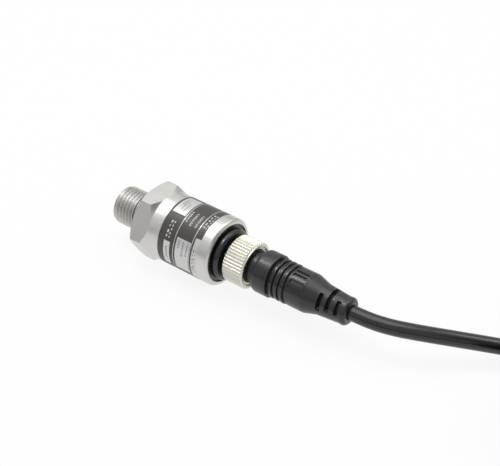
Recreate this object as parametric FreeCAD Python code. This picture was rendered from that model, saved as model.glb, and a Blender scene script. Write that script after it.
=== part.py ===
"""Pressure transmitter with a G1/4 process connection and an M12 lead, in millimetres.

The stem, the hexagon and the barrel are one turned steel piece. A ceramic cell sits inside it,
held by a screwed ring, with its board behind. The crimped rim closes on a moulded connector
base, and a moulded plug with a knurled nut and a 1.5 m lead is screwed onto that base.

Frame: +X runs along the axis from the thread to the lead, +Z is up, and the origin is on the
axis at the middle of the process thread. The transmitter lies on its barrel.
"""
import FreeCAD
import Part
import math
import os

V = FreeCAD.Vector
X_AXIS = V(1, 0, 0)

# ---------------------------------------------------------------- process connection (G1/4)
thread_d = 13.157          # major diameter of G1/4
thread_len = 8.0           # plain wall that carries the thread
tip_chamfer = 0.6          # at the front of the stem
relief_d = 11.4            # undercut behind the thread
relief_len = 3.9
channel_d = 3.0            # pressure channel through the stem
seal_od = 14.6             # elastomer ring round the undercut, in the seal face
seal_clear = 0.1           # ring to undercut
seal_depth = 1.2           # depth of its recess
seal_proud = 0.3           # how far the ring stands out of the recess
seal_side = 0.4            # recess wall to ring

# ---------------------------------------------------------------- hexagon and barrel
hex_af = 23.0              # across flats
hex_chamfer_d = 22.6       # where the front chamfer meets the seal face
hex_chamfer_deg = 30.0
hex_len = 7.8              # seal face to the start of the barrel
hex_back_slope = 0.6       # radius lost per millimetre on the chamfer behind the corners
barrel_d = 23.0
barrel_len = 23.1
rim_round = 1.2            # rolled edge at the end of the barrel
rim_lip = 1.1              # thickness of the rolled lip
rim_cover = 0.4            # how far the lip covers the connector base
label_setback = 3.5        # barrel start to the front of the label
label_len = 15.6
label_t = 0.15             # thickness of the label sleeve and depth of its seat
label_gap_deg = 14.0       # slit of the sleeve, on the far side from the print

# ---------------------------------------------------------------- inside the barrel
cell_setback = 1.6         # start of the hexagon's back end to the cell's seat, along X
cell_d = 18.0
cell_t = 6.35
cell_clear = 0.2           # cell to bore, on the radius
diaphragm_t = 0.5
cell_ring_cord = 1.5       # section of the cell's seal
cell_ring_d = 12.6         # its mean diameter
cell_ring_side = 0.35      # groove wall to ring
retainer_t = 2.4
retainer_bore_d = 12.4
retainer_slot_w = 1.6
retainer_slot_depth = 1.0
crimp_wall = 1.1           # barrel wall round the connector base
crimp_seat = 4.3           # length of that counterbore
base_clear = 0.05          # base flange to counterbore
base_face_drop = 0.6       # end of the rim to the base's flat face
collar_ledge = 1.3         # flat ring between the lip and the raised collar
collar_len = 2.8
collar_round = 0.9
base_wall = 2.2            # flange wall round the hollow back of the base
base_pocket_depth = 2.6
base_seal_cord = 1.2
board_d = 16.8
board_t = 1.2
board_gap = 2.9            # retainer to board
chip_w = 5.0
chip_t = 1.2
cap_d = 3.0
cap_len = 2.2
cap_spread = 5.2           # the two capacitors, centre to centre
lead_d = 0.6
lead_circle_d = 9.0
lead_depth = 0.5           # blind holes in the cell's back

# ---------------------------------------------------------------- M12 connection
m12_d = 11.9               # male thread of the base
m12_len = 5.4
cup_d = 8.6                # socket in the base
cup_depth = 8.0
pin_d = 1.0
pin_circle_d = 5.5
pin_reach = 7.2            # pins inside the socket
key_w = 1.0                # coding rib of the socket
key_h = 0.6
key_clear = 0.2

# ---------------------------------------------------------------- coupling nut
run_clear = 0.05           # thread to nut, on the radius
end_clear = 0.1            # between faces that turn against each other
nut_setback = 1.3          # base collar to the front of the nut
nut_d = 15.8
nut_flutes = 46
flute_depth = 0.38
nut_knurl_len = 6.7
nut_lip_len = 1.0          # chamfered end behind the knurl
nut_lip_d = 14.7
nut_front_chamfer = 0.45
nut_bore_d = 13.2          # room for the plug's flange
nut_wall = 0.7             # back wall that pulls on the flange
nut_hole_d = 11.5
nut_recess_d = 13.4        # shallow recess in the nut's back
nut_recess = 0.7
nut_turns = 4.0            # turns of 1 mm pitch that free it

# ---------------------------------------------------------------- plug
spigot_clear = 0.1         # spigot to socket, on the radius
spigot_gap = 0.7           # spigot end to the bottom of the socket
plug_seal_cord = 1.2
plug_seal_gap = 0.05       # plug seal to the base's mouth
flange_d = 12.6
carrier_stem_d = 9.2
carrier_stem_len = 9.0
contact_d = 1.9
contact_bore_d = 1.3
contact_tail = 2.5         # solder cups behind the carrier
neck_d = 11.0
neck_gap = 2.3             # nut to the shoulder of the moulding
shoulder_round = 1.5
front_d = 14.2
front_len = 6.0            # nut side of the shoulder to the first groove
groove_count = 4
groove_pitch = 2.0
groove_w = 1.0
groove_depth = 0.75
ring_d = 13.2              # rings between the grooves
ring_round = 0.35
grip_d = 12.8
grip_len = 5.9             # last groove to the taper
taper_len = 4.3
relief_front_d = 10.2      # strain relief, front and back
relief_back_d = 8.9
relief_stretch = 8.0
end_collar_len = 2.1
end_round = 1.2
clock_deg = 63.0           # which way the grip panel faces, up from the -Y side
panel_half_deg = 30.0
panel_len = 4.8
panel_depth = 0.45
panel_ribs = 3
panel_rib_step_deg = 19.0
panel_rib_w = 0.85
panel_rib_h = 0.3          # how far the ribs stand above the grip
bracket_w = 0.7            # curved ridge that closes the panel
bracket_h = 0.25
bracket_half_deg = 24.0
slot_w = 1.4               # slots of the strain relief
slot_root_d = 6.4
slot_rows = ((1.0, 28.0, 35.0), (3.9, 62.0, 59.0), (7.0, 36.0, 30.0))   # x, facing, half angle

# ---------------------------------------------------------------- lead
cable_d = 5.0
jacket_grip = 5.0          # jacket inside the moulding
core_d = 1.3
core_circle_d = 2.7        # four cores inside the jacket
core_clear = 0.1
core_bend = 4.0            # bends of the cores, in the plug and at the free end
cavity_straight = 6.0      # solder room behind the carrier
floor_z = -barrel_d / 2.0

# Route from the moulding's end, as x, y, z from that point.
route = (
    (4.5, 0.0, 0.0),
    (12.7, 1.8, -0.25),
    (21.3, 6.4, -1.3),
    (30.1, 12.4, -3.2),
    (38.6, 18.5, -5.3),
    (47.1, 24.1, -7.2),
    (55.6, 29.1, -8.4),
    (64.1, 33.3, -8.8),
    (73.1, 34.5, -8.6),
    (82.1, 32.5, -8.1),
)

hank_start = 51.9          # moulding's end to the hank, along X
hank_y = 12.0
hank_len = 85.0
hank_outer_r = 23.0        # round ends
hank_layers = 4
tie_t = 0.8                # cable ties, which also carry the hank
tie_w = 2.5
tie_gap = 0.1
tie_head = (4.6, 4.0, 3.0)
tail_len = 22.0            # free end of the jacket
core_tail_len = 12.0
core_fan = ((-1.5, 2.4), (0.2, 1.6), (-0.3, 0.4), (-2.6, 0.3))   # how far each free core strays
tip_len = 4.0
tip_d = 1.0


def rounded_edges(points, radii, closed):
    """Straight edges between the points, with a tangent arc of the given radius at each."""
    count = len(points)
    cuts = []
    for i, point in enumerate(points):
        radius = radii[i]
        if radius <= 0.0:
            cuts.append((point, None, point))
            continue
        back = (points[i - 1] - point).normalize()
        ahead = (points[(i + 1) % count] - point).normalize()
        half = back.getAngle(ahead) / 2.0
        reach = radius / math.tan(half)
        bisector = (back + ahead).normalize()
        middle = point + bisector * (radius / math.sin(half) - radius)
        cuts.append((point + back * reach, middle, point + ahead * reach))
    edges = []
    for i in range(count):
        start, middle, end = cuts[i]
        if middle is not None:
            edges.append(Part.Arc(start, middle, end).toShape())
        last = i == count - 1
        if last and not closed:
            break
        following = cuts[(i + 1) % count][0]
        if end.distanceToPoint(following) > 1e-6:
            edges.append(Part.LineSegment(end, following).toShape())
    return edges


def turned(profile):
    """Solid of revolution about the X axis from (x, radius) or (x, radius, corner round)."""
    points = [V(p[0], 0, p[1]) for p in profile]
    radii = [p[2] if len(p) > 2 else 0.0 for p in profile]
    face = Part.Face(Part.Wire(rounded_edges(points, radii, True)))
    return face.revolve(V(0, 0, 0), X_AXIS, 360)


def rod(x0, x1, diameter, y=0.0, z=0.0):
    return Part.makeCylinder(diameter / 2.0, x1 - x0, V(x0, y, z), X_AXIS)


def tube(x0, x1, outer, inner):
    return rod(x0, x1, outer).cut(rod(x0, x1, inner))


def ring(x, mean_d, cord):
    """Round sealing ring centred on the axis at x."""
    return Part.makeTorus(mean_d / 2.0, cord / 2.0, V(x, 0, 0), X_AXIS)


def facing(shape, degrees):
    """Turns a shape made on the -Y side up towards +Z by the given angle."""
    turned_shape = shape.copy()
    turned_shape.rotate(V(0, 0, 0), X_AXIS, -degrees)
    return turned_shape


def on_circle(diameter, degrees):
    angle = math.radians(degrees)
    return (-diameter / 2.0 * math.cos(angle), diameter / 2.0 * math.sin(angle))


def sector(x0, x1, outer_d, inner_d, half_deg):
    """Part of a tube on the -Y side, open by half_deg to each side of it."""
    profile = Part.makePolygon([
        V(x0, -inner_d / 2.0, 0), V(x1, -inner_d / 2.0, 0),
        V(x1, -outer_d / 2.0, 0), V(x0, -outer_d / 2.0, 0), V(x0, -inner_d / 2.0, 0)])
    face = Part.Face(profile)
    face.rotate(V(0, 0, 0), X_AXIS, -half_deg)
    return face.revolve(V(0, 0, 0), X_AXIS, 2.0 * half_deg)


def pipe(points, radii, diameter):
    """Round bar along straight runs joined by tangent arcs."""
    path = Part.Wire(rounded_edges(points, radii, False))
    start = points[0]
    circle = Part.Circle(start, points[1] - start, diameter / 2.0).toShape()
    return path.makePipeShell([Part.Wire(circle)], True, False), path.Length


def bend_radii(points):
    """Largest tangent radii that the runs allow, nought at both ends."""
    radii = [0.0]
    for before, point, after in zip(points, points[1:], points[2:]):
        turn = (point - before).getAngle(after - point)
        shorter = min((point - before).Length, (after - point).Length)
        radii.append(0.45 * shorter / math.tan(turn / 2.0))
    return radii + [0.0]


# ---------------------------------------------------------------- stations along the axis
thread_start = -thread_len / 2.0
tip_x = thread_start - tip_chamfer
thread_end = thread_len / 2.0
face_x = thread_end + relief_len
barrel_x = face_x + hex_len
rim_x = barrel_x + barrel_len
cell_x = barrel_x + cell_setback
cell_back_x = cell_x + cell_t
retainer_back_x = cell_back_x + retainer_t
crimp_end_x = rim_x - rim_lip
crimp_x = crimp_end_x - crimp_seat
base_face_x = rim_x - base_face_drop
collar_x = base_face_x + collar_len
mouth_x = collar_x + m12_len
cup_x = mouth_x - cup_depth
board_x = retainer_back_x + board_gap
board_back_x = board_x + board_t
nut_x = collar_x + nut_setback
knurl_end_x = nut_x + nut_knurl_len
nut_end_x = knurl_end_x + nut_lip_len
nut_wall_x = nut_end_x - nut_recess - nut_wall
flange_end_x = nut_wall_x - end_clear
flange_x = mouth_x + plug_seal_gap + plug_seal_cord
carrier_end_x = flange_end_x + carrier_stem_len
shoulder_x = nut_end_x + neck_gap
groove_x = shoulder_x + front_len
grip_x = groove_x + (groove_count - 1) * groove_pitch + groove_w
taper_x = grip_x + grip_len
relief_x = taper_x + taper_len
end_collar_x = relief_x + relief_stretch
plug_end_x = end_collar_x + end_collar_len
jacket_x = plug_end_x - jacket_grip

crimp_bore_d = barrel_d - 2.0 * crimp_wall
rim_bore_d = crimp_bore_d - 2.0 * rim_cover
collar_d = rim_bore_d - 2.0 * collar_ledge
base_pocket_d = crimp_bore_d - 2.0 * base_wall

parts = {}

# ---------------------------------------------------------------- housing
hex_corner_r = hex_af / math.sqrt(3.0)
barrel_r = barrel_d / 2.0
chamfer_run = (hex_corner_r - hex_chamfer_d / 2.0) * math.tan(math.radians(hex_chamfer_deg))
back_run = (hex_corner_r - barrel_r) / hex_back_slope
seal_inner_d = relief_d + 2.0 * seal_clear
recess_d = seal_od + 2.0 * seal_side

stem = turned([
    (tip_x, 0), (tip_x, thread_d / 2.0 - tip_chamfer), (thread_start, thread_d / 2.0),
    (thread_end, thread_d / 2.0), (thread_end + 0.5, relief_d / 2.0),
    (face_x + seal_depth, relief_d / 2.0), (face_x + seal_depth, 0)])
hex_blank = turned([
    (face_x, 0), (face_x, hex_chamfer_d / 2.0), (face_x + chamfer_run, hex_corner_r + 0.01),
    (barrel_x - back_run, hex_corner_r + 0.01), (barrel_x, barrel_r), (barrel_x, 0)])
hexagon = Part.makePolygon([
    V(face_x, hex_corner_r * math.cos(math.radians(60 * i)),
      hex_corner_r * math.sin(math.radians(60 * i))) for i in range(7)])
hex_prism = Part.Face(hexagon).extrude(V(hex_len, 0, 0))
barrel = turned([
    (barrel_x, 0), (barrel_x, barrel_r), (rim_x, barrel_r, rim_round),
    (rim_x, rim_bore_d / 2.0), (rim_x, 0)])
seal_recess = tube(face_x, face_x + seal_depth, recess_d, relief_d)
label_x = barrel_x + label_setback
label_seat = tube(label_x, label_x + label_len, barrel_d + 1.0, barrel_d - 2.0 * label_t)

cell_bore_d = cell_d + 2.0 * cell_clear
ring_groove = tube(
    cell_x - cell_ring_cord, cell_x,
    cell_ring_d + cell_ring_cord + 2.0 * cell_ring_side,
    cell_ring_d - cell_ring_cord - 2.0 * cell_ring_side)
hollow = turned([
    (tip_x - 1, 0), (tip_x - 1, channel_d / 2.0), (cell_x, channel_d / 2.0),
    (cell_x, cell_bore_d / 2.0), (crimp_x, cell_bore_d / 2.0), (crimp_x, crimp_bore_d / 2.0),
    (crimp_end_x, crimp_bore_d / 2.0), (crimp_end_x, rim_bore_d / 2.0),
    (rim_x + 1, rim_bore_d / 2.0), (rim_x + 1, 0)])
housing = stem.fuse([hex_blank.common(hex_prism), barrel]).removeSplitter()
parts["housing"] = housing.cut([hollow, ring_groove, seal_recess, label_seat])

parts["thread_seal_ring"] = turned([
    (face_x - seal_proud, seal_inner_d / 2.0, 0.3), (face_x - seal_proud, seal_od / 2.0, 0.3),
    (face_x + seal_depth, seal_od / 2.0), (face_x + seal_depth, seal_inner_d / 2.0)])

label_sleeve = tube(label_x, label_x + label_len, barrel_d, barrel_d - 2.0 * label_t)
slit = sector(label_x - 1, label_x + label_len + 1, barrel_d + 2, barrel_d - 2, label_gap_deg / 2)
parts["label"] = label_sleeve.cut(facing(slit, clock_deg + 180.0))

# ---------------------------------------------------------------- measuring cell
parts["cell_seal_ring"] = ring(cell_x - cell_ring_cord / 2.0, cell_ring_d, cell_ring_cord)
parts["cell_diaphragm"] = rod(cell_x, cell_x + diaphragm_t, cell_d)

lead_spots = [on_circle(lead_circle_d, 90 + 120 * i) for i in range(3)]
lead_x = cell_back_x - lead_depth
lead_rods = [rod(lead_x, board_back_x + 0.4, lead_d, y, z) for y, z in lead_spots]
parts["measuring_cell"] = rod(cell_x + diaphragm_t, cell_back_x, cell_d).cut(lead_rods)
for number, lead in enumerate(lead_rods, 1):
    parts["cell_lead_%d" % number] = lead

retainer_slots = [
    Part.makeBox(retainer_slot_depth, cell_bore_d + 2, retainer_slot_w,
                 V(retainer_back_x - retainer_slot_depth, -cell_bore_d / 2 - 1,
                   -retainer_slot_w / 2))]
retainer = tube(cell_back_x, retainer_back_x, cell_bore_d, retainer_bore_d)
parts["cell_retainer"] = retainer.cut(retainer_slots)

# ---------------------------------------------------------------- board on the contact pins
pin_spots = [on_circle(pin_circle_d, 45 + 90 * i) for i in range(4)]
pin_end_x = cup_x + pin_reach
pin_rods = [rod(board_x - 0.5, pin_end_x, pin_d, y, z) for y, z in pin_spots]
board = rod(board_x, board_back_x, board_d)
parts["circuit_board"] = board.cut(pin_rods + lead_rods)
parts["signal_chip"] = Part.makeBox(
    chip_t, chip_w, chip_w / 2.0, V(board_x - chip_t, -chip_w / 2.0, -chip_w / 4.0))
for number, side in enumerate((-1, 1), 1):
    parts["capacitor_%d" % number] = rod(
        board_back_x, board_back_x + cap_len, cap_d, side * cap_spread, 0)
for number, pin in enumerate(pin_rods, 1):
    parts["contact_pin_%d" % number] = pin

# ---------------------------------------------------------------- connector base
base_r = crimp_bore_d / 2.0 - base_clear
collar_r = collar_d / 2.0
base = turned([
    (crimp_x, base_pocket_d / 2.0), (crimp_x, base_r), (crimp_end_x, base_r),
    (crimp_end_x, rim_bore_d / 2.0 - base_clear), (base_face_x, rim_bore_d / 2.0 - base_clear),
    (base_face_x, collar_r), (collar_x, collar_r, collar_round), (collar_x, m12_d / 2.0),
    (mouth_x, m12_d / 2.0, 0.4), (mouth_x, cup_d / 2.0), (cup_x, cup_d / 2.0), (cup_x, 0),
    (crimp_x + base_pocket_depth, 0), (crimp_x + base_pocket_depth, base_pocket_d / 2.0)])
key = Part.makeBox(
    mouth_x - cup_x - 0.5, key_h + 0.5, key_w,
    V(cup_x, -cup_d / 2.0 - 0.5, -key_w / 2.0))
seal_x = crimp_end_x - 1.0 - base_seal_cord
base_seal_mean_d = 2.0 * base_r - base_seal_cord
base_groove = tube(seal_x, seal_x + base_seal_cord, crimp_bore_d + 1,
                   2.0 * base_r - 2.0 * base_seal_cord)
parts["connector_base"] = base.fuse(facing(key, 90.0)).cut(pin_rods + [base_groove])
parts["base_seal_ring"] = ring(seal_x + base_seal_cord / 2.0, base_seal_mean_d, base_seal_cord)

# ---------------------------------------------------------------- coupling nut
nut_r = nut_d / 2.0
star = []
for i in range(nut_flutes):
    pitch = 2.0 * math.pi / nut_flutes
    for share, radius in ((0.0, nut_r), (0.28, nut_r), (0.64, nut_r - flute_depth)):
        angle = (i + share) * pitch
        star.append(V(nut_x, radius * math.cos(angle), radius * math.sin(angle)))
knurled = Part.Face(Part.makePolygon(star + [star[0]])).extrude(V(nut_end_x - nut_x, 0, 0))
nut_blank = turned([
    (nut_x, 0), (nut_x, nut_r - nut_front_chamfer), (nut_x + nut_front_chamfer, nut_r),
    (knurl_end_x - 0.3, nut_r), (knurl_end_x, nut_r - flute_depth - 0.1),
    (knurl_end_x + 0.3, nut_r - flute_depth - 0.1), (nut_end_x, nut_lip_d / 2.0), (nut_end_x, 0)])
nut_hollow = turned([
    (nut_x - 1, 0), (nut_x - 1, m12_d / 2.0 + run_clear), (mouth_x, m12_d / 2.0 + run_clear),
    (mouth_x, nut_bore_d / 2.0), (nut_wall_x, nut_bore_d / 2.0), (nut_wall_x, nut_hole_d / 2.0),
    (nut_end_x - nut_recess, nut_hole_d / 2.0), (nut_end_x - nut_recess, nut_recess_d / 2.0),
    (nut_end_x + 1, nut_recess_d / 2.0), (nut_end_x + 1, 0)])
parts["coupling_nut"] = knurled.common(nut_blank).cut(nut_hollow)

# ---------------------------------------------------------------- contact carrier and contacts
spigot_r = cup_d / 2.0 - spigot_clear
spigot_x = cup_x + spigot_gap
contact_end_x = carrier_end_x + contact_tail
contact_x = spigot_x + 0.3
carrier = turned([
    (spigot_x, 0), (spigot_x, spigot_r, 0.3), (flange_x, spigot_r), (flange_x, flange_d / 2.0),
    (flange_end_x, flange_d / 2.0), (flange_end_x, carrier_stem_d / 2.0),
    (carrier_end_x, carrier_stem_d / 2.0), (carrier_end_x, 0)])
keyway = Part.makeBox(
    flange_x - spigot_x - 0.5, 2.0 + key_h, key_w + 2.0 * key_clear,
    V(spigot_x, -spigot_r - 2.0 + spigot_clear - key_clear, -key_w / 2.0 - key_clear))
contact_rods = [rod(contact_x, contact_end_x, contact_d, y, z) for y, z in pin_spots]
mouth_rods = [rod(spigot_x - 1, contact_x, contact_bore_d, y, z) for y, z in pin_spots]
parts["contact_carrier"] = carrier.cut([facing(keyway, 90.0)] + contact_rods + mouth_rods)
for number, (y, z) in enumerate(pin_spots, 1):
    socket = rod(contact_x, contact_end_x, contact_d, y, z)
    bore = rod(contact_x - 1, pin_end_x + 1.0, contact_bore_d, y, z)
    cup = rod(contact_end_x - 1.8, contact_end_x + 1, core_d, y, z)
    parts["socket_contact_%d" % number] = socket.cut([bore, cup])
plug_seal_mean_d = 2.0 * spigot_r + plug_seal_cord
parts["plug_seal_ring"] = ring(flange_x - plug_seal_cord / 2.0, plug_seal_mean_d, plug_seal_cord)

# ---------------------------------------------------------------- plug moulding
front_r = front_d / 2.0
ring_r = ring_d / 2.0
groove_r = ring_r - groove_depth
grip_r = grip_d / 2.0
core_room_d = core_circle_d + core_d + 2.0 * core_clear
solder_room_d = pin_circle_d + contact_d + 2.0 * core_clear
solder_end_x = contact_end_x + cavity_straight
cone_end_x = solder_end_x + cavity_straight
outline = [
    (flange_end_x, carrier_stem_d / 2.0), (flange_end_x, neck_d / 2.0),
    (shoulder_x, neck_d / 2.0), (shoulder_x, neck_d / 2.0 + 0.1), (shoulder_x, front_r, shoulder_round),
    (groove_x, front_r, ring_round)]
for i in range(groove_count):
    start = groove_x + i * groove_pitch
    top = grip_r if i == groove_count - 1 else ring_r
    outline += [(start, groove_r), (start + groove_w, groove_r),
                (start + groove_w, top, ring_round)]
    if i < groove_count - 1:
        outline.append((start + groove_pitch, top, ring_round))
outline += [
    (taper_x, grip_r, 3.0), (relief_x, relief_front_d / 2.0, 3.0),
    (end_collar_x, relief_back_d / 2.0), (end_collar_x + 0.4, relief_back_d / 2.0 + 0.1),
    (plug_end_x, relief_back_d / 2.0 + 0.1, end_round), (plug_end_x, cable_d / 2.0),
    (jacket_x, cable_d / 2.0), (jacket_x, core_room_d / 2.0), (cone_end_x, core_room_d / 2.0),
    (solder_end_x, solder_room_d / 2.0), (carrier_end_x, solder_room_d / 2.0),
    (carrier_end_x, carrier_stem_d / 2.0)]
moulding = turned(outline)

panel_x = grip_x + 0.3
panel_floor_d = grip_d - 2.0 * panel_depth
panels = []
ribs = []
for side in (0.0, 180.0):
    window = sector(panel_x, panel_x + panel_len, grip_d + 2, panel_floor_d, panel_half_deg)
    panels.append(facing(window, clock_deg + side))
    for i in range(panel_ribs):
        offset = (i - (panel_ribs - 1) / 2.0) * panel_rib_step_deg
        half_deg = math.degrees(panel_rib_w / grip_d)
        rib = sector(panel_x, panel_x + panel_len, grip_d + 2.0 * panel_rib_h,
                     panel_floor_d - 0.4, half_deg)
        ribs.append(facing(rib, clock_deg + side + offset))
    bracket = sector(panel_x + panel_len, panel_x + panel_len + bracket_w,
                     grip_d + 2.0 * bracket_h, grip_d - 1.0, bracket_half_deg)
    ribs.append(facing(bracket, clock_deg + side))
slots = []
for along, angle, half_deg in slot_rows:
    slot_x = relief_x + along - slot_w / 2.0
    slot = sector(slot_x, slot_x + slot_w, relief_front_d + 3, slot_root_d, half_deg)
    slots += [facing(slot, angle), facing(slot, angle + 180.0)]
parts["plug_moulding"] = moulding.cut(panels).fuse(ribs).cut(slots)

# ---------------------------------------------------------------- lead
exit_point = V(plug_end_x, 0, 0)
cable_points = [V(jacket_x, 0, 0)]
cable_points += [exit_point + V(x, y, z) for x, y, z in route]
cable_radii = bend_radii(cable_points)
parts["cable"], cable_length = pipe(cable_points, cable_radii, cable_d)
print("cable bend radii:", " ".join("%.1f" % r for r in cable_radii[1:-1]))
print("cable tube length %.2f, volume %.2f, section times length %.2f" % (
    cable_length, parts["cable"].Volume, math.pi * cable_d ** 2 / 4.0 * cable_length))

hank_x0 = plug_end_x + hank_start
hank_z0 = floor_z + tie_t + tie_gap
straight = hank_len - 2.0 * hank_outer_r


def racetrack(radius, z0, height):
    """Flat block with round ends, the outline of one hank column."""
    left = hank_x0 + hank_outer_r
    block = Part.makeBox(straight, 2.0 * radius, height, V(left, hank_y - radius, z0))
    ends = [Part.makeCylinder(radius, height, V(left + dx, hank_y, z0)) for dx in (0, straight)]
    return block.fuse(ends).removeSplitter()


hank_mid_r = hank_outer_r - cable_d
hank_inner_r = hank_mid_r - cable_d
hank_h = hank_layers * cable_d
low_h = hank_h - cable_d
outer_column = racetrack(hank_outer_r, hank_z0, hank_h)
hank = outer_column.cut([racetrack(hank_mid_r, hank_z0 + low_h, cable_d),
                         racetrack(hank_inner_r, hank_z0, hank_h)])
parts["cable_hank"] = hank

tie_x = hank_x0 + hank_len / 2.0 - tie_w / 2.0
for number, side in enumerate((-1, 1), 1):
    inner_w = 2.0 * cable_d + 2.0 * tie_gap
    inner_h = hank_h + 2.0 * tie_gap
    middle_y = hank_y + side * hank_mid_r
    opening = Part.makeBox(tie_w, inner_w, inner_h,
                           V(tie_x, middle_y - inner_w / 2.0, hank_z0 - tie_gap))
    strap = Part.makeBox(tie_w, inner_w + 2.0 * tie_t, inner_h + 2.0 * tie_t,
                         V(tie_x, middle_y - inner_w / 2.0 - tie_t, floor_z))
    head = Part.makeBox(tie_head[0], tie_head[1], tie_head[2],
                        V(tie_x - (tie_head[0] - tie_w) / 2.0, middle_y - tie_head[1] / 2.0,
                          floor_z + inner_h + tie_t))
    parts["cable_tie_%d" % number] = strap.fuse(head).cut(opening)

tail_y = hank_y + hank_mid_r - cable_d / 2.0
tail_z = hank_z0 + low_h + cable_d / 2.0
tail_x = hank_x0 + hank_outer_r
tail_end_x = tail_x + tail_len
parts["cable_tail"] = rod(tail_x, tail_end_x, cable_d, tail_y, tail_z)

core_names = ("brown", "white", "blue", "black")
core_spots = [on_circle(core_circle_d, 45 + 90 * i) for i in range(4)]
for i, name in enumerate(core_names):
    pin_y, pin_z = pin_spots[i]
    core_y, core_z = core_spots[i]
    near = [V(contact_end_x - 1.8, pin_y, pin_z), V(solder_end_x, pin_y, pin_z),
            V(cone_end_x, core_y, core_z), V(jacket_x, core_y, core_z)]
    in_plug, _ = pipe(near, [0.0, core_bend, core_bend, 0.0], core_d)
    start = V(tail_end_x, tail_y + core_y, tail_z + core_z)
    bent = start + V(core_tail_len * 0.3, 0, 0)
    free_end = start + V(core_tail_len, core_fan[i][0], core_fan[i][1])
    free, _ = pipe([start, bent, free_end], [0.0, core_bend, 0.0], core_d)
    parts["core_" + name] = Part.makeCompound([in_plug, free])
    parts["core_tip_" + name] = Part.makeCylinder(
        tip_d / 2.0, tip_len, free_end, (free_end - bent).normalize())

os.makedirs("parts", exist_ok=True)
for name, shape in parts.items():
    shape.exportStep("parts/%s.step" % name)
print(len(parts), "nodes")
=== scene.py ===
# %% [markdown]
# # A pressure transmitter with its moulded lead
#
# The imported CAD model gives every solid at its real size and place. This file adds what a camera
# and a hand would notice: the cut threads, the printed label, the lead at its whole length, and
# the finish of each surface. Everything is in metres, in the model's own frame, with +X running
# from the thread to the lead and +Z up. Lengths are written in millimetres and multiplied by MM.

import math

import bmesh
import bpy
from mathutils import Matrix, Vector


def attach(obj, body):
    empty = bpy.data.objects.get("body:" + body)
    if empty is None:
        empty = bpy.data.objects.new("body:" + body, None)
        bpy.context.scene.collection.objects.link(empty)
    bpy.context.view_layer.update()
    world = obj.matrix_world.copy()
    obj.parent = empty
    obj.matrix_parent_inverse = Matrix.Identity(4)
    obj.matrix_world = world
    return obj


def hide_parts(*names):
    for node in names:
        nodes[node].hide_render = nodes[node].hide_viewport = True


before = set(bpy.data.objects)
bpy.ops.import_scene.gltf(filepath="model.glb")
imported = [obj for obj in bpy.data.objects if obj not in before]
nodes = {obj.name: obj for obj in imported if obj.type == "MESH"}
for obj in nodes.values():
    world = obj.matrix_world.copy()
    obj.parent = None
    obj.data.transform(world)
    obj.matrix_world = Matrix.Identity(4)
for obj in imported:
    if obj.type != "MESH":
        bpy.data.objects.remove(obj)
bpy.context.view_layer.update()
MM = 0.001
scene = bpy.context.scene
scene.view_settings.view_transform = "Standard"

# %% [markdown]
# ## The camera
#
# It looks down on the part from the lead's side, from about a third of a metre away. A camera's
# columns are its right, its up and its back direction, so the three are worked out from one
# azimuth and one elevation. Pointing it with a Track To constraint would do as well, but then
# the part couldn't sit off the middle of the view.

# %% Place the camera
AZIMUTH = math.radians(37.03)
ELEVATION = math.radians(38.32)
AIM_X = 35.4  # point on the axis that the camera is set out from, mm
TO_THE_RIGHT, UPWARDS, BACKWARDS = 9.78, 5.08, 367.2  # and how far it stands from there, mm
camera_back = Vector((
    math.sin(AZIMUTH) * math.cos(ELEVATION),
    -math.cos(AZIMUTH) * math.cos(ELEVATION),
    math.sin(ELEVATION)))
camera_right = Vector((math.cos(AZIMUTH), math.sin(AZIMUTH), 0))
camera_up = camera_back.cross(camera_right)
camera_data = bpy.data.cameras.new("camera")
camera_data.sensor_width = 36
camera_data.lens = 82.87
camera_data.clip_start = 0.01
camera = bpy.data.objects.new("camera", camera_data)
scene.collection.objects.link(camera)
camera_place = (Vector((AIM_X, 0, 0)) + camera_right * TO_THE_RIGHT + camera_up * UPWARDS
                + camera_back * BACKWARDS) * MM
turn = Matrix((camera_right, camera_up, camera_back)).transposed().to_4x4()
camera.matrix_world = Matrix.Translation(camera_place) @ turn
scene.camera = camera
print("camera at", [round(v, 3) for v in camera_place])

# %% [markdown]
# ## The lead's route
#
# The lead is one extruded jacket, 5 mm thick and 1.5 m long. It leaves the moulding straight,
# sags to the surface in one lazy bend, and the length that isn't needed is folded into a tied
# hank. The route is a list of control points in millimetres. Those of the hank are wound column
# by column: each turn is the same racetrack, and the next one lies one slot further in or up.

# %% Lay out the lead's first stretch
cable_d = 5.0
plug_end = 85.6
floor_z = -11.5
lead_points = [(plug_end + x, y, z) for x, y, z in (
    (-5.0, 0.0, 0.0),
    (4.5, 0.0, 0.0),
    (12.7, 1.8, -0.25),
    (21.3, 6.4, -1.3),
    (30.1, 12.4, -3.2),
    (38.6, 18.5, -5.3),
    (47.1, 24.1, -7.2),
    (55.6, 29.1, -8.4),
    (64.1, 33.3, -8.8),
    (73.1, 34.5, -8.6))]
print(len(lead_points), "points from the plug to the hank")

# %% Wind the hank
HANK_START = 51.9  # from the plug's end
HANK_OUTER_R = 23.0  # round the outside of its folds
STRAIGHT = 39.0  # between the middles of its folds
TIE_UNDER = 0.9  # the ties' straps pass under the hank
FOLD_PULL = 1.035  # points stand outside their fold, because the curve cuts inside them
FOLD_DEGREES = range(75, -91, -33)  # six points round each fold
EASE_FROM = 15  # in the second fold, from here to -90 degrees, a turn eases to its next slot
hank_left = plug_end + HANK_START + HANK_OUTER_R
hank_right = hank_left + STRAIGHT
hank_y = 12.0
outer_r = HANK_OUTER_R - cable_d / 2
inner_r = outer_r - cable_d
first_layer = floor_z + TIE_UNDER + cable_d / 2
slots = ((outer_r, 0), (inner_r, 0), (inner_r, 1), (outer_r, 1),
         (outer_r, 2), (inner_r, 2), (outer_r, 3), (inner_r, 3))  # radius and layer of each turn
run_stations = (hank_left + 7, hank_left + 19.5, hank_right - 7)


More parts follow.
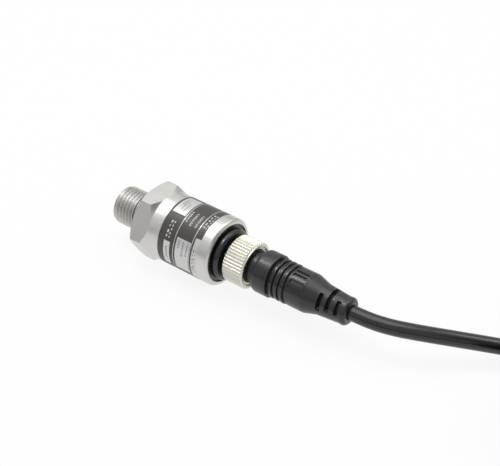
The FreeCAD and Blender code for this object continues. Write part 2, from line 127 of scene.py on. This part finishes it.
def racetrack_turn(here, following):
    """One turn in its slot, easing to the next slot over its last quarter."""
    (radius, layer), (next_radius, next_layer) = here, following
    height = first_layer + layer * cable_d
    rise = (next_layer - layer) * cable_d
    points = [(x, hank_y + radius, height) for x in run_stations]
    for degrees in FOLD_DEGREES:
        bend = math.radians(degrees)
        reach = radius * FOLD_PULL
        points.append((hank_right + reach * math.cos(bend),
                       hank_y + reach * math.sin(bend), height))
    points += [(x, hank_y - radius, height) for x in reversed(run_stations)]
    for degrees in FOLD_DEGREES:
        bend = math.radians(degrees)
        share = max(0.0, (EASE_FROM - degrees) / (EASE_FROM + 90))
        reach = (radius + (next_radius - radius) * share) * FOLD_PULL
        points.append((hank_left - reach * math.cos(bend),
                       hank_y - reach * math.sin(bend), height + rise * share))
    return points


for here, following in zip(slots, slots[1:]):
    lead_points += racetrack_turn(here, following)
last_radius, last_layer = slots[-1]
lead_points += [(hank_left + x, hank_y + last_radius, first_layer + last_layer * cable_d)
                for x in (4, 12, 22)]
print(len(lead_points), "points along the lead, with", len(slots), "turns in the hank")

# %% [markdown]
# ## The lead's jacket
#
# A NURBS curve of order 3 suits it, because its control points pull it smooth, as a stiff jacket
# lies, where a poly curve would show its corners. The thickness sits in each point's own radius,
# with a bevel depth of 1, so that the curve's box stays as slim as the lead.

# %% Make the lead
lead_curve = bpy.data.curves.new("cable_jacket", "CURVE")
lead_curve.dimensions = "3D"
lead_curve.bevel_depth = 1.0  # each point's own radius gives the thickness
lead_curve.bevel_resolution = 5
lead_curve.use_fill_caps = True
lead_spline = lead_curve.splines.new("NURBS")
lead_spline.points.add(len(lead_points) - 1)
for control, place in zip(lead_spline.points, lead_points):
    control.co = (*(Vector(place) * MM), 1)
    control.radius = cable_d / 2 * MM
lead_spline.order_u = 3
lead_spline.use_endpoint_u = True
lead_spline.resolution_u = 8
lead = bpy.data.objects.new("cable_jacket", lead_curve)
scene.collection.objects.link(lead)
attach(lead, "plug")
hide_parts("cable", "cable_hank", "cable_tail")
core_names = ("brown", "white", "blue", "black")
lead_pieces = [nodes["cable_tie_1"], nodes["cable_tie_2"]]
for core in core_names:
    lead_pieces += [nodes["core_" + core], nodes["core_tip_" + core]]
print("the lead carries", len(lead_pieces), "pieces")

# %% [markdown]
# ## Small helpers
#
# Colours are written as sRGB hex values, as a paint card gives them, and turned to linear light
# once. A node tree reads best when each node is one call with its settings and its links. Most
# shapes here are round the X axis, so a point's place along it and its distance from it are
# asked for again and again.

# %% Colour and node helpers
def colour(code):
    """Linear RGBA from an sRGB hex code."""
    parts = [int(code[i:i + 2], 16) / 255 for i in (1, 3, 5)]
    return (*(p / 12.92 if p <= 0.04045 else ((p + 0.055) / 1.055) ** 2.4 for p in parts), 1)


def add(tree, kind, links=None, values=None, **settings):
    """Adds a node, sets its properties and input values, and links its inputs."""
    node = tree.nodes.new(kind)
    for name, value in settings.items():
        setattr(node, name, value)
    for name, value in (values or {}).items():
        node.inputs[name].default_value = value
    for name, source in (links or {}).items():
        tree.links.new(source, node.inputs[name])
    return node


def finish(name, base, metallic=0.0, roughness=0.5, **sockets):
    """A material with its shader, ready for patterns."""
    material = bpy.data.materials.new(name)
    material.use_nodes = True
    shader = material.node_tree.nodes["Principled BSDF"]
    shader.inputs["Base Color"].default_value = colour(base)
    shader.inputs["Metallic"].default_value = metallic
    shader.inputs["Roughness"].default_value = roughness
    for socket, value in sockets.items():
        shader.inputs[socket].default_value = value
    material.diffuse_color = colour(base)
    return material, material.node_tree, shader


def dress(piece, *materials):
    """Gives a piece these materials and no others."""
    piece.data.materials.clear()
    for material in materials:
        piece.data.materials.append(material)


print("mid grey #808080 is", round(colour("#808080")[0], 3), "in linear light")


# %% Shape helpers
def made(name, mesh):
    """An object at the origin that holds a finished bmesh."""
    data = bpy.data.meshes.new(name)
    mesh.to_mesh(data)
    mesh.free()
    piece = bpy.data.objects.new(name, data)
    scene.collection.objects.link(piece)
    return piece


def station(point):
    """How far along the X axis a point lies, and how far from it, in mm."""
    return point.x / MM, math.hypot(point.y, point.z) / MM


def set_radius(vert, radius):
    """Moves a point straight towards or away from the X axis, to a radius in mm."""
    share = radius / station(vert.co)[1]
    vert.co.y *= share
    vert.co.z *= share


# %% [markdown]
# ## Turned and plated metal
#
# A lathe leaves fine rings round the axis, a few hundredths of a millimetre apart. They stretch
# each highlight along the part. An image of rings would need a UV map, so noise that changes
# quickly along X and slowly round the axis draws them, in the roughness and as a very shallow
# bump. Real rings are too fine to show from here, so they are drawn 0.25 to 0.6 mm apart.

# %% Metal with lathe rings
ROUND_SCALE = 90.0  # the rings' noise changes once in 11 mm across the axis
PATCH_SCALE = 160.0  # and soft patches 6 mm wide keep them from looking ruled


def turned_metal(name, base, roughness, ring_mm, depth):
    """Bright metal with lathe rings across X, this far apart and this deep in mm."""
    material, tree, shader = finish(name, base, metallic=1.0, roughness=roughness)
    place = add(tree, "ShaderNodeTexCoord").outputs["Object"]
    stretched = add(tree, "ShaderNodeMapping", {"Vector": place},
                    {"Scale": (1 / (ring_mm * MM), ROUND_SCALE, ROUND_SCALE)}).outputs["Vector"]
    rings = add(tree, "ShaderNodeTexNoise", {"Vector": stretched},
                {"Scale": 1.0, "Detail": 3.0, "Roughness": 0.6}).outputs["Fac"]
    cloudy = add(tree, "ShaderNodeTexNoise", {"Vector": place},
                 {"Scale": PATCH_SCALE, "Detail": 2.0}).outputs["Fac"]
    both = add(tree, "ShaderNodeMath", {0: rings, 1: cloudy}, operation="ADD").outputs[0]
    rough = add(tree, "ShaderNodeMapRange", {"Value": both},
                {"From Min": 0.6, "From Max": 1.4, "To Min": roughness - 0.06,
                 "To Max": roughness + 0.08})
    tree.links.new(rough.outputs[0], shader.inputs["Roughness"])
    bump = add(tree, "ShaderNodeBump", {"Height": rings}, {"Strength": 0.5, "Distance": depth * MM})
    tree.links.new(bump.outputs["Normal"], shader.inputs["Normal"])
    return material


# satin stainless steel: clean grey, with soft streaks of light along the barrel
steel = turned_metal("stainless_steel_turned", "#D1D0CD", 0.35, 0.25, 0.010)
# the same steel cut by a die: a little greyer and duller on its flanks
thread_steel = turned_metal("stainless_steel_thread", "#C9C8C4", 0.38, 0.6, 0.0005)
# dull nickel plate over brass: paler and warmer than the steel beside it
nickel = turned_metal("nickel_plate_knurled", "#E0DED2", 0.48, 0.6, 0.003)
# turned brass: yellow, seen only when the barrel is opened
brass = turned_metal("brass_turned", "#C9A356", 0.28, 0.3, 0.01)
# gold flash on the contacts: deep yellow and smooth
gold = turned_metal("gold_plated_contact", "#E3BC62", 0.22, 0.4, 0.002)
# tinned copper strands: soft grey at the cores' ends
tinned = turned_metal("tinned_copper", "#BDBDBB", 0.35, 0.4, 0.01)
print("metals:", steel.name, thread_steel.name, nickel.name, brass.name, gold.name, tinned.name)

# %% [markdown]
# ## Mouldings and the jacket
#
# The plug is a soft polyurethane moulding with a faint grain, the base a harder glass-filled
# nylon, and the jacket is extruded, so it is among the smoothest. What tells black plastics
# apart is their gloss, so each has its own roughness and grain. Carbon black raises the index of
# refraction a little, and handling leaves a trace of dust, which is the sheen. A mould's grain
# is about 0.05 mm, too fine to show from here, so it is drawn 0.2 to 0.8 mm wide.

# %% Plastic and rubber with a fine grain
def moulded(name, base, roughness, grain_mm, depth, **sockets):
    """Plastic or rubber with the grain of its mould, this wide and this deep in mm."""
    material, tree, shader = finish(name, base, roughness=roughness, **sockets)
    place = add(tree, "ShaderNodeTexCoord").outputs["Object"]
    grain = add(tree, "ShaderNodeTexNoise", {"Vector": place},
                {"Scale": 1 / (grain_mm * MM), "Detail": 2.0}).outputs["Fac"]
    rough = add(tree, "ShaderNodeMapRange", {"Value": grain},
                {"From Min": 0.3, "From Max": 0.7, "To Min": roughness - 0.05,
                 "To Max": roughness + 0.07})
    tree.links.new(rough.outputs[0], shader.inputs["Roughness"])
    bump = add(tree, "ShaderNodeBump", {"Height": grain}, {"Strength": 0.4, "Distance": depth * MM})
    tree.links.new(bump.outputs["Normal"], shader.inputs["Normal"])
    return material


CARBON_BLACK = {"IOR": 1.58, "Sheen Weight": 0.05, "Sheen Roughness": 0.4}  # filled and dusty
# moulded polyurethane: satin black, softly lit on its rounds
plug_rubber = moulded("polyurethane_moulded", "#0F1113", 0.32, 0.35, 0.01, **CARBON_BLACK)
# the same where the mould was polished: thin bright lines along ribs and rings
rib_rubber = moulded("polyurethane_polished", "#0F1113", 0.16, 0.8, 0.004, **CARBON_BLACK)
# glass-filled nylon: hard and glossy, so its collar draws a clear highlight
base_nylon = moulded("nylon_moulded", "#0E1113", 0.20, 0.5, 0.01, **CARBON_BLACK)
# extruded jacket: smooth, with one long highlight along its top
jacket = moulded("cable_jacket_extruded", "#0B0C0D", 0.20, 0.8, 0.004, **CARBON_BLACK)
dress(lead, jacket)
print("black finishes:", plug_rubber.name, rib_rubber.name, base_nylon.name, jacket.name)

# %% [markdown]
# ## Inner pieces, seals and ties
#
# The rest is inside, lies with the hank, or shows only when the plug is drawn out. Their solids
# are right as they are, so each keeps its CAD shape and only gets its finish, from one table.

# %% Finishes of the inner pieces
# nitrile rubber: matte and nearly black
seal_rubber = moulded("seal_elastomer", "#141414", 0.6, 0.3, 0.01)
# fluoro rubber of the plug's seal: matte orange-brown
plug_seal = moulded("seal_elastomer_orange", "#B6531E", 0.55, 0.3, 0.01)
# nylon of the contact insert: dull dark grey
carrier_nylon = moulded("nylon_carrier", "#202124", 0.42, 0.5, 0.01)
# nylon of the ties: dark, with a soft shine
tie_nylon = moulded("cable_tie_nylon", "#1B1B1C", 0.38, 0.5, 0.01)
# ground alumina of the cell: chalky, slightly warm white
alumina = moulded("alumina_ground", "#E9E6DE", 0.6, 0.2, 0.004)
# solder mask of the board: glossy green
board_mask = moulded("solder_mask_green", "#155C34", 0.35, 0.8, 0.004)
# moulded epoxy of the chip: matte black
chip_epoxy = moulded("chip_epoxy", "#1C1C1E", 0.5, 0.2, 0.004)
# case of a tantalum capacitor: ochre
tantalum = moulded("capacitor_case", "#C08A2E", 0.4, 0.3, 0.004)
finishes = {
    "thread_seal_ring": seal_rubber, "cell_seal_ring": seal_rubber, "base_seal_ring": seal_rubber,
    "plug_seal_ring": plug_seal, "cell_diaphragm": alumina, "measuring_cell": alumina,
    "cell_retainer": brass, "circuit_board": board_mask, "signal_chip": chip_epoxy,
    "capacitor_1": tantalum, "capacitor_2": tantalum, "contact_carrier": carrier_nylon,
    "cable_tie_1": tie_nylon, "cable_tie_2": tie_nylon}
for number in (1, 2, 3):
    finishes["cell_lead_%d" % number] = gold
for number in (1, 2, 3, 4):
    finishes["contact_pin_%d" % number] = gold
    finishes["socket_contact_%d" % number] = gold
# extruded insulation of the cores: satin, in the four usual colours
for core, shade in zip(core_names, ("#6B3A1E", "#E6E5E0", "#2455B0", "#191919")):
    finishes["core_" + core] = moulded("core_insulation_" + core, shade, 0.35, 0.6, 0.004)
    finishes["core_tip_" + core] = tinned
for node, material in finishes.items():
    dress(nodes[node], material)
print(len(finishes), "CAD pieces dressed")

# %% [markdown]
# ## Soft edges
#
# No real edge is sharp: a turned one is broken and a moulded one follows its mould, and both
# catch a thin line of light. A CAD node is loose triangles, whose edges a bevel can't follow. So
# four of the solids are copied, their doubles merged and their flat faces joined, and a Bevel
# modifier rounds what is left. The copy stands for its node and takes any reshaping first.

# %% Copy a solid and give it soft edges
EDGE_ANGLE = math.radians(28)  # steeper than this is an edge


def softened(name, source, body, material, edge_mm, reshape):
    """A copy of a CAD solid that stands for it, reshaped, with its sharp edges rounded."""
    mesh = bmesh.new()
    mesh.from_mesh(nodes[source].data)
    bmesh.ops.remove_doubles(mesh, verts=mesh.verts, dist=0.0005 * MM)
    bmesh.ops.dissolve_limit(mesh, angle_limit=math.radians(0.3), verts=mesh.verts,
                             edges=mesh.edges, delimit=set())
    changed = reshape(mesh)
    piece = made(name, mesh)
    piece.data.shade_smooth()
    piece.data.set_sharp_from_angle(angle=EDGE_ANGLE)
    bevel = piece.modifiers.new("edges", "BEVEL")
    bevel.width = edge_mm * MM
    bevel.segments = 2
    bevel.limit_method = "ANGLE"
    bevel.angle_limit = EDGE_ANGLE
    bevel.miter_outer = "MITER_ARC"
    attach(piece, body)
    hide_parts(source)
    dress(piece, material)
    print(name, "has", len(piece.data.polygons), "faces, reshaped in", changed, "places")
    return piece


# %% [markdown]
# ## Cut threads
#
# A thread is one small profile carried round the axis while it moves forward by the pitch. The
# spin operator does just that: its dvec is the step along the axis. The profile spans one pitch,
# so each turn's edge meets the next one's and merging their doubles closes the surface. The
# crests are then trimmed to a cone at each end, as a die and an undercut leave them. The CAD
# solid has a plain wall at the crests, so that wall is sunk below the root first.

# %% Cut a thread round a shaft
AROUND = 96  # steps of the spin in one turn
CREST_ROUND = 0.03  # height of the rounding at a crest, and the wall's depth below the root


def sink_wall(mesh, crest_d, root_d, start, end):
    """Turns a shaft's plain wall down to just under the thread's root."""
    sunk = 0
    for vert in mesh.verts:
        x, radius = station(vert.co)
        if abs(radius - crest_d / 2) < 0.02 and start - 0.05 < x < end + 0.05:
            set_radius(vert, root_d / 2 - CREST_ROUND)
            sunk += 1
    return sunk


def helix_thread(name, root_d, crest_d, pitch, start, end, run_in, run_out, body, material):
    """One thread profile spun round the axis while it steps forward."""
    helix = bmesh.new()
    root, crest = root_d / 2, crest_d / 2
    profile = [(-0.5, root), (-0.42, root), (-0.08, crest - CREST_ROUND), (-0.03, crest),
               (0.03, crest), (0.08, crest - CREST_ROUND), (0.42, root), (0.5, root)]
    first = start - pitch
    verts = [helix.verts.new(((first + x * pitch) * MM, 0, r * MM)) for x, r in profile]
    edges = [helix.edges.new(pair) for pair in zip(verts, verts[1:])]
    turns = math.ceil((end - start) / pitch) + 2
    bmesh.ops.spin(helix, geom=verts + edges, cent=(0, 0, 0), axis=(1, 0, 0),
                   dvec=(pitch * MM / AROUND, 0, 0), angle=2 * math.pi * turns,
                   steps=turns * AROUND)
    helix.verts.index_update()
    for parts in (helix.edges, helix.faces):  # the spin lists these differently each time
        by_points = sorted(parts, key=lambda part: sorted(v.index for v in part.verts))
        for rank, part in enumerate(by_points):
            part.index = rank
        parts.sort()
    bmesh.ops.remove_doubles(helix, verts=helix.verts, dist=0.001 * MM)
    for cut_x, side in ((start, -1), (end, 1)):
        geometry = helix.verts[:] + helix.edges[:] + helix.faces[:]
        bmesh.ops.bisect_plane(helix, geom=geometry, plane_co=(cut_x * MM, 0, 0),
                               plane_no=(side, 0, 0), clear_outer=True)
    for vert in helix.verts:
        x, radius = station(vert.co)
        limit = max(root, min(root + (x - start) / run_in * (crest - root),
                              root + (end - x) / run_out * (crest - root)))
        if radius > limit:
            set_radius(vert, limit)
    bmesh.ops.recalc_face_normals(helix, faces=helix.faces)
    piece = made(name, helix)
    piece.data.shade_smooth()
    piece.data.set_sharp_from_angle(angle=math.radians(25))
    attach(piece, body)
    dress(piece, material)
    print(name, "makes", turns, "turns in", len(piece.data.polygons), "faces")


# %% [markdown]
# ## The housing
#
# Stem, hexagon and barrel are one turned piece. The process thread is a G1/4 parallel thread,
# with 19 turns to the inch. Behind the hexagon's corners the bar is chamfered back to the
# barrel. The solid's chamfer is a little shallow, so its points are slid along to a steeper one.

# %% The housing with its process thread
STEM_CREST, STEM_ROOT, STEM_PITCH = 13.157, 11.445, 1.337
BARREL_R = 11.5
BARREL_X = 15.7  # where the barrel starts
SOLID_SLOPE = 0.6  # radius that the solid's chamfer loses per mm
CHAMFER_X, CHAMFER_RUN = 14.8, 1.05  # where the new one meets the barrel, and mm per mm of radius


def reshape_housing(mesh):
    """Sinks the thread's wall, and turns the corners' back chamfer steeper."""
    moved = sink_wall(mesh, STEM_CREST, STEM_ROOT, -4.0, 4.0)
    for vert in mesh.verts:
        x, radius = station(vert.co)
        on_chamfer = abs(radius - BARREL_R - (BARREL_X - x) * SOLID_SLOPE) < 0.02
        if 12.0 < x < BARREL_X + 0.1 and on_chamfer:
            vert.co.x = (CHAMFER_X - (radius - BARREL_R) * CHAMFER_RUN) * MM
            moved += 1
    return moved


softened("housing_turned", "housing", "transmitter", steel, 0.18,
         reshape_housing)
helix_thread("process_thread_cut", STEM_ROOT, STEM_CREST, STEM_PITCH, -4.6, 4.4, 0.7, 0.5,
             "transmitter", thread_steel)

# %% [markdown]
# ## The connector base
#
# The rolled rim holds this black insert. Its raised collar shows as a glossy ring beside the
# nut, and its M12 thread shows only once the nut has been screwed off.

# %% The base with its M12 thread
M12_CREST, M12_ROOT, M12_PITCH = 11.9, 10.8, 1.0
softened("base_moulded", "connector_base", "transmitter", base_nylon, 0.12,
         lambda mesh: sink_wall(mesh, M12_CREST, M12_ROOT, 41.0, 46.4))
helix_thread("base_thread_moulded", M12_ROOT, M12_CREST, M12_PITCH, 41.3, 46.2, 0.5, 0.5,
             "transmitter", base_nylon)

# %% [markdown]
# ## The knurled nut
#
# The nut has a straight knurl, which ends just short of its back edge. The solid's knurl ends
# earlier, in a wider plain band. Its end points are slid back between a few stations, so the
# teeth keep their shape and only get longer.

# %% Stretch the nut's knurl
KNURL_STATIONS = ((48.0, 48.0), (48.7, 49.35), (49.0, 49.7), (49.3, 49.8), (50.0, 50.0))  # from, to


def stretch_knurl(mesh):
    """Runs the knurl nearly to the nut's back edge."""
    moved = 0
    for vert in mesh.verts:
        x, radius = station(vert.co)
        if radius > 6.9 and x > 48.0:
            for (low, low_to), (high, high_to) in zip(KNURL_STATIONS, KNURL_STATIONS[1:]):
                if low <= x <= high + 0.001:
                    vert.co.x = (low_to + (x - low) / (high - low) * (high_to - low_to)) * MM
                    moved += 1
                    break
    return moved


softened("coupling_nut_knurled", "coupling_nut", "nut", nickel, 0.06,
         stretch_knurl)

# %% [markdown]
# ## The moulded plug
#
# The plug's grip has grooves round it and a panel of three ribs along it. The mould is polished
# where fingers touch, so the tops of the ribs and rings shine more than the body. The ribs' long
# edges get their own larger bevel, and the faces up there take a second, glossier finish.

# %% Round and polish the grip
GRIP_R = 6.4  # radius of the moulding between its ribs


def round_ribs(mesh):
    """Rounds the tops of the grip ribs, which run along X."""
    tops = [e for e in mesh.edges
            if abs(e.verts[0].co.x - e.verts[1].co.x) > 3 * MM
            and all(radius > GRIP_R + 0.25 and 65.3 < x < 71.2
                    for x, radius in (station(v.co) for v in e.verts))]
    bmesh.ops.bevel(mesh, geom=tops, offset=0.3 * MM, segments=4, affect="EDGES", profile=0.5,
                    material=-1)
    return len(tops)


plug_body = softened("plug_body_moulded", "plug_moulding", "plug", plug_rubber,
                     0.16, round_ribs)
dress(plug_body, plug_rubber, rib_rubber)
polished = 0
for polygon in plug_body.data.polygons:
    x, radius = station(polygon.center)
    if (65.4 < x < 71.2 and radius > GRIP_R + 0.03) or (58.6 < x < 65.2 and radius > GRIP_R - 0.4):
        polygon.material_index = 1
        polished += 1
print("the ribs and rings shine on", polished, "faces")

# %% [markdown]
# ## The printed label
#
# The label is a dark anodised foil with bright windows left bare and small print. An image would
# be the usual way, but plain geometry stays sharp and needs no file: its layout is fields and
# short bars, each in one of three inks. Angles are counted round the barrel, from the near side
# upwards, and a window shows the foil's bare metal between the dark parts.

# %% Inks and windows of the label
# dark anodised aluminium foil: warm dark grey, half as shiny as the steel
foil, _, _ = finish("anodised_foil", "#4D4B4A", metallic=0.35, roughness=0.42)
# the same foil left bare: silvery, but softer than turned steel
bare, _, _ = finish("bare_aluminium_foil", "#CFCFCE", metallic=0.55, roughness=0.36)
# screen-printed inks: flat light grey on the dark foil, mid grey on the bare windows
pale_ink, _, _ = finish("ink_light_grey", "#C9CACB", roughness=0.5)
dark_ink, _, _ = finish("ink_dark_grey", "#77787A", roughness=0.5)
dress(nodes["label"], foil)
BARE, PALE, DARK = 0, 1, 2  # slots of the three on the printed layer
STANDS_OFF = (0.010, 0.012, 0.014)  # how far each stands on the foil, mm
label_x0 = 19.2
fields = [  # x from the label's front, width, lower and upper angle, ink
    (0.75, 5.05, 70.0, 117.0, BARE),
    (2.45, 2.45, -24.0, 21.5, BARE),
    (7.15, 5.5, -24.0, 35.0, BARE),
    (13.65, 1.95, -32.0, 46.0, BARE),
    (6.25, 0.22, -180.0, 172.0, BARE),
    (12.8, 0.22, -180.0, 172.0, BARE)]
print(len(fields), "windows and lines left bare")

# %% Lines of small and large marks
RHYTHM = (1.0, 0.72, 0.9, 0.6, 1.0, 0.8)  # marks differ in length, as words of type do
PRINTED = 0.62  # share of a step that the longest mark fills


def small_print(x, width, top, bottom, count, ink):
    """A line of fine marks that runs down round the barrel, in the place of small type."""
    step = (top - bottom) / count
    for i in range(count):
        reach = step * PRINTED * RHYTHM[(i + int(x * 3)) % 6]
        fields.append((x, width * RHYTHM[(i + 2) % 6], top - i * step - reach, top - i * step, ink))


def large_print(x, width, top, bottom, count, ink):
    """Two close rows of bars, in the place of a line of large type."""
    small_print(x, width * 0.4, top, bottom, count, ink)
    small_print(x + width * 0.7, width * 0.3, top, bottom, count + 1, ink)


large_print(2.7, 1.6, 56.0, 23.5, 4, PALE)
large_print(13.75, 1.5, 97.0, 61.0, 5, PALE)
for x, top, bottom, count in ((6.95, 84, 62, 9), (8.9, 84, 58, 11), (11.0, 84, 59, 10)):
    small_print(x, 0.8, top, bottom, count, PALE)
for x, top, bottom, count in ((1.7, 104, 88, 7), (2.6, 101, 78, 9), (3.9, 96, 76, 8)):
    small_print(x, 0.6, top, bottom, count, DARK)
small_print(3.35, 0.8, 12.0, -10.0, 9, DARK)
for x, top, bottom, count in ((7.9, 32, 17, 6), (9.6, 31, 5, 10), (11.3, 32, 9, 9)):
    small_print(x, 0.7, top, bottom, count, DARK)
large_print(14.1, 1.0, 27.0, -17.0, 6, DARK)
print(len(fields), "fields with the marks")

# %% [markdown]
# ## Bending the print round the barrel
#
# Each field starts as a flat grid, one face wide and cut every 3 degrees. Its points are then
# mapped to a place along the barrel and an angle round it, so it lies flush on the foil. A field
# that comes out inside out has its faces flipped, because a print is seen from outside.

# %% Bend the fields round the barrel
print_mesh = bmesh.new()
for x, width, low, high, ink in fields:
    steps = max(2, round((high - low) / 3))
    grid = bmesh.ops.create_grid(print_mesh, x_segments=1, y_segments=steps, size=0.5)
    for vert in grid["verts"]:
        along = (label_x0 + x + (vert.co.x + 0.5) * width) * MM
        angle = math.radians(low + (vert.co.y + 0.5) * (high - low))
        reach = (BARREL_R + STANDS_OFF[ink]) * MM
        vert.co = (along, -reach * math.cos(angle), reach * math.sin(angle))
    for face in {f for v in grid["verts"] for f in v.link_faces}:
        face.material_index = ink
        face.normal_update()
        middle = face.calc_center_median()
        if face.normal.dot(Vector((0, middle.y, middle.z))) < 0:
            face.normal_flip()
label_print = made("label_print", print_mesh)
for ink_material in (bare, pale_ink, dark_ink):
    label_print.data.materials.append(ink_material)  # dress would clear the faces' inks
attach(label_print, "transmitter")
print("label_print has", len(label_print.data.polygons), "faces")

# %% [markdown]
# ## The floor
#
# The part lies on a white sweep. Lamps strong enough to make it white would burn out the steel,
# so the floor's own white is an emission that only the camera, reflections and glass see. A
# share of plain diffuse stays in it, which keeps the soft shadow.

# %% Lay the floor
GLOWING = 0.88  # share of the floor's look that is its own white
bpy.ops.mesh.primitive_plane_add(size=3.0, location=(0.1, 0, floor_z * MM))
floor = bpy.context.object
floor.name = "floor"
# matte white paper: no gloss of its own
white, floor_tree, floor_shader = finish("white_sweep", "#F4F4F4", roughness=0.9)
glow = add(floor_tree, "ShaderNodeEmission", values={"Color": (1, 1, 1, 1), "Strength": 1.0})
rays = add(floor_tree, "ShaderNodeLightPath").outputs
seen = add(floor_tree, "ShaderNodeMath", {0: rays["Is Camera Ray"], 1: rays["Is Glossy Ray"]},
           operation="MAXIMUM")
seen = add(floor_tree, "ShaderNodeMath", {0: seen.outputs[0], 1: rays["Is Transmission Ray"]},
           operation="MAXIMUM")
share = add(floor_tree, "ShaderNodeMath", {0: seen.outputs[0]}, {1: GLOWING}, operation="MULTIPLY")
mixed = add(floor_tree, "ShaderNodeMixShader",
            {0: share.outputs[0], 1: floor_shader.outputs[0], 2: glow.outputs[0]})
floor_tree.links.new(mixed.outputs[0], floor_tree.nodes["Material Output"].inputs["Surface"])
dress(floor, white)
print("the floor is at", floor_z, "mm")

# %% [markdown]
# ## The tent of light
#
# Metal shows little but its surroundings, so the world stands for a studio's light tent. The
# camera sees plain white. Reflections see a pale tent with a brighter roof, a dim end where it
# is open on the room, and a dark gap low down, between its wall and the floor. That gap draws
# the dark lines along the steel. Everything else gets an even, weaker white.

# %% Make the world
ROOM_SIDE = Vector((0.80, 0.02, 0.60)).normalized()  # where the tent is open on a dim room
ROOF_SIDE = Vector((-0.30, 0.50, 0.81)).normalized()  # where the tent is brightest
GAP_HEIGHT = 0.06  # sine of the elevation at the middle of the low gap
AMBIENT = 0.56
WHITE = (1, 1, 1, 1)
world = bpy.data.worlds.new("studio")
scene.world = world
world.use_nodes = True
sky = world.node_tree
sky.nodes.clear()
rays = add(sky, "ShaderNodeLightPath").outputs
look = add(sky, "ShaderNodeTexCoord").outputs["Generated"]
towards_room = add(sky, "ShaderNodeVectorMath", {0: look}, {1: ROOM_SIDE}, operation="DOT_PRODUCT")
room = add(sky, "ShaderNodeMapRange", {"Value": towards_room.outputs["Value"]},
           {"From Min": 0.90, "From Max": 0.985, "To Min": 1.0, "To Max": 0.12},
           interpolation_type="SMOOTHSTEP")
towards_roof = add(sky, "ShaderNodeVectorMath", {0: look}, {1: ROOF_SIDE}, operation="DOT_PRODUCT")
roof = add(sky, "ShaderNodeMapRange", {"Value": towards_roof.outputs["Value"]},
           {"From Min": 0.25, "From Max": 0.75, "To Min": 0.72, "To Max": 0.90},
           interpolation_type="SMOOTHSTEP")
height = add(sky, "ShaderNodeSeparateXYZ", {"Vector": look}).outputs["Z"]
above = add(sky, "ShaderNodeMath", {0: height}, {1: GAP_HEIGHT}, operation="SUBTRACT")
away = add(sky, "ShaderNodeMath", {0: above.outputs[0]}, operation="ABSOLUTE")
gap = add(sky, "ShaderNodeMapRange", {"Value": away.outputs[0]},
          {"From Min": 0.02, "From Max": 0.17, "To Min": 0.2, "To Max": 1.0},
          interpolation_type="SMOOTHSTEP")
open_side = add(sky, "ShaderNodeMath", {0: room.outputs[0], 1: roof.outputs[0]},
                operation="MULTIPLY")
dimmed = add(sky, "ShaderNodeMath", {0: open_side.outputs[0], 1: gap.outputs[0]},
             operation="MULTIPLY")
ambient = add(sky, "ShaderNodeBackground", values={"Color": WHITE, "Strength": AMBIENT})
tent = add(sky, "ShaderNodeBackground", {"Strength": dimmed.outputs[0]}, {"Color": WHITE})
backdrop = add(sky, "ShaderNodeBackground", values={"Color": WHITE, "Strength": 1.0})
mirrored = add(sky, "ShaderNodeMixShader", {0: rays["Is Glossy Ray"],
                                            1: ambient.outputs[0], 2: tent.outputs[0]})
straight = add(sky, "ShaderNodeMath", {0: rays["Is Camera Ray"], 1: rays["Is Transmission Ray"]},
               operation="MAXIMUM")
chosen = add(sky, "ShaderNodeMixShader", {0: straight.outputs[0],
                                          1: mirrored.outputs[0], 2: backdrop.outputs[0]})
add(sky, "ShaderNodeOutputWorld", {"Surface": chosen.outputs[0]})
print("the tent is made with", len(sky.nodes), "nodes")

# %% [markdown]
# ## The lamps
#
# A wide soft box overhead lays the broad highlights on the steel and the long one on the black
# lead. A narrow one behind the thread's end adds a thin line of light on the barrel, and a small
# one on the far side of the lead keeps the shadow from going flat.

# %% Hang the lamps
def lamp(name, place, aim, size, power):
    """A round soft box at a place, turned to a point, with its width in m and power in W."""
    data = bpy.data.lights.new(name, "AREA")
    data.shape = "DISK"
    data.size = size
    data.energy = power
    fixture = bpy.data.objects.new(name, data)
    scene.collection.objects.link(fixture)
    direction = Vector(aim) - Vector(place)
    fixture.matrix_world = (Matrix.Translation(place)
                            @ direction.to_track_quat("-Z", "Y").to_matrix().to_4x4())
    print(name, "hangs", round(direction.length, 2), "m from the part")


lamp("overhead_softbox", (-0.12, 0.04, 0.92), (0.06, 0, 0), 0.95, 3.9)
lamp("near_strip", (-0.27, -0.04, 0.60), (0.06, 0, 0), 0.07, 0.40)
lamp("side_softbox", (0.35, 0.45, 0.60), (0.08, 0, 0), 0.35, 0.8)
